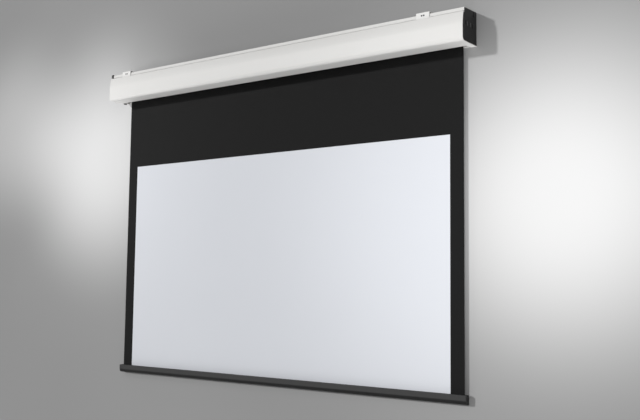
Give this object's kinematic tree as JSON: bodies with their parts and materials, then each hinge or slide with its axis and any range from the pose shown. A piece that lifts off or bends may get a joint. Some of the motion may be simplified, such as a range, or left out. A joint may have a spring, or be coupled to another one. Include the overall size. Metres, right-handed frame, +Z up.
{
  "type": "motorized projector screen",
  "caption": "White wall-mounted motorized roller screen with a black drop, a white viewing area, black side borders and a grey bottom bar.",
  "frame": {"origin": "middle of the case's flat back face, in the wall plane", "axes": "+X along the case to the viewer's right, +Y into the wall, +Z up; the cloth hangs along -Z"},
  "size_m": [2.02, 0.124, 1.5533],
  "materials": {
    "white_case": "white powder coat",
    "white_steel": "white powder coat",
    "black_plastic": "fine texture",
    "black_steel": "black oxide",
    "zinc_steel": "zinc plated",
    "mill_aluminium": "extruded",
    "motor_steel": "drawn",
    "grey_bar": "dark grey powder coat",
    "white_cloth": "matt white coating",
    "black_cloth": "matt black coating",
    "grey_plastic": "moulded"
  },
  "bodies": {
    "case": {"rear_housing": "white_case", "front_cover": "white_case", "end_cap_left": "black_plastic", "end_cap_right": "black_plastic", "cap_screw_left_1": "black_steel", "cap_screw_left_2": "black_steel", "cap_screw_left_3": "black_steel", "cap_screw_right_1": "black_steel", "cap_screw_right_2": "black_steel", "cap_screw_right_3": "black_steel", "band_clip_left": "black_plastic", "motor_bracket": "zinc_steel", "idler_bracket": "zinc_steel", "motor_bracket_screw_1": "zinc_steel", "motor_bracket_screw_2": "zinc_steel", "idler_bracket_screw_1": "zinc_steel", "idler_bracket_screw_2": "zinc_steel", "motor_head": "grey_plastic", "motor_clip": "zinc_steel", "motor_tube": "motor_steel", "cable_gland": "black_plastic", "gland_nut": "black_plastic", "motor_lead": "black_plastic", "idler_bush": "grey_plastic", "screen_black_drop": "black_cloth"},
    "roller": {"roller_tube": "mill_aluminium", "fabric_spline": "grey_plastic", "fabric_roll": "black_cloth", "crown_ring": "black_plastic", "output_shaft": "zinc_steel", "drive_wheel": "black_plastic", "idler_plug": "black_plastic", "idler_pin": "zinc_steel", "idler_circlip": "zinc_steel"},
    "bar": {"bottom_bar": "grey_bar", "bar_cap_left": "black_plastic", "bar_cap_right": "black_plastic", "hem_rod": "grey_plastic", "bar_weight": "zinc_steel", "screen_white": "white_cloth", "screen_border_left": "black_cloth", "screen_border_right": "black_cloth"},
    "limit_up": {"limit_screw_up": "zinc_steel"},
    "limit_down": {"limit_screw_down": "zinc_steel"},
    "left_bracket": {"bracket_left": "white_steel", "bracket_left_set_screw_1": "black_steel", "bracket_left_set_screw_2": "black_steel", "bracket_left_clamp_screw": "zinc_steel", "bracket_left_rail_nut": "zinc_steel"},
    "right_bracket": {"bracket_right": "white_steel", "bracket_right_set_screw_1": "black_steel", "bracket_right_set_screw_2": "black_steel", "bracket_right_clamp_screw": "zinc_steel", "bracket_right_rail_nut": "zinc_steel"}
  },
  "joints": [
    {"name": "screen_travel", "type": "slide", "parent": "case", "child": "bar", "axis": [0, 0, 1], "range_m": [0, 1.3815], "deforming": ["screen_black_drop", "screen_white", "screen_border_left", "screen_border_right"]},
    {"name": "roller_spin", "type": "hinge", "parent": "case", "child": "roller", "pos_m": [0, -0.04785, 0.006], "axis": [1, 0, 0], "range_deg": [0, 2487]},
    {"name": "left_bracket_slide", "type": "slide", "parent": "case", "child": "left_bracket", "axis": [1, 0, 0], "range_m": [-0.068, 0.4]},
    {"name": "right_bracket_slide", "type": "slide", "parent": "case", "child": "right_bracket", "axis": [1, 0, 0], "range_m": [-0.4, 0.13]},
    {"name": "limit_up_turn", "type": "hinge", "parent": "case", "child": "limit_up", "pos_m": [-0.9842, -0.07645, 0.013], "axis": [0, -1, 0], "continuous": true},
    {"name": "limit_down_turn", "type": "hinge", "parent": "case", "child": "limit_down", "pos_m": [-0.9842, -0.07645, -0.001], "axis": [0, -1, 0], "continuous": true}
  ],
  "couplings": [
    {"joint": "roller_spin", "follows": "screen_travel", "rad_per_m": 31.397}
  ]
}
